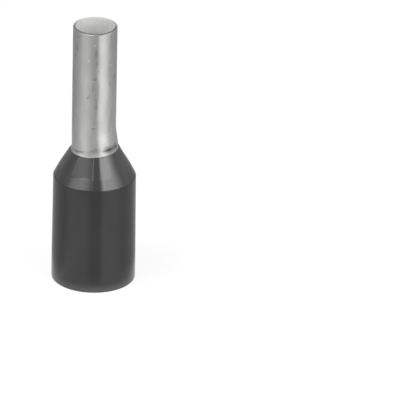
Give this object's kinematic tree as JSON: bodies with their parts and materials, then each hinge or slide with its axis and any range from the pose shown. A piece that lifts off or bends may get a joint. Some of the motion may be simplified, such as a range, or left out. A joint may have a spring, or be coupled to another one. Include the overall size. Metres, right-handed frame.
{
  "type": "wire ferrule",
  "caption": "Insulated wire ferrule: a thin tinned barrel, open at its tip, flares into a black moulded collar with a cone, a rounded shoulder and a wide mouth for the wire.",
  "frame": {"origin": "centre of the collar's mouth, in the plane that the ferrule stands on", "axes": "+Z along the axis from the collar's mouth to the barrel's tip; X and Y are alike, because the ferrule is round"},
  "size_m": [0.0048, 0.0048, 0.0155],
  "materials": {
    "tinned_copper": "satin tin plating on drawn copper tube, with faint lines along its length",
    "black_plastic": "moulded, smooth, with a soft gloss"
  },
  "bodies": {
    "root": {"sleeve": "tinned_copper", "collar": "black_plastic"}
  },
  "joints": []
}
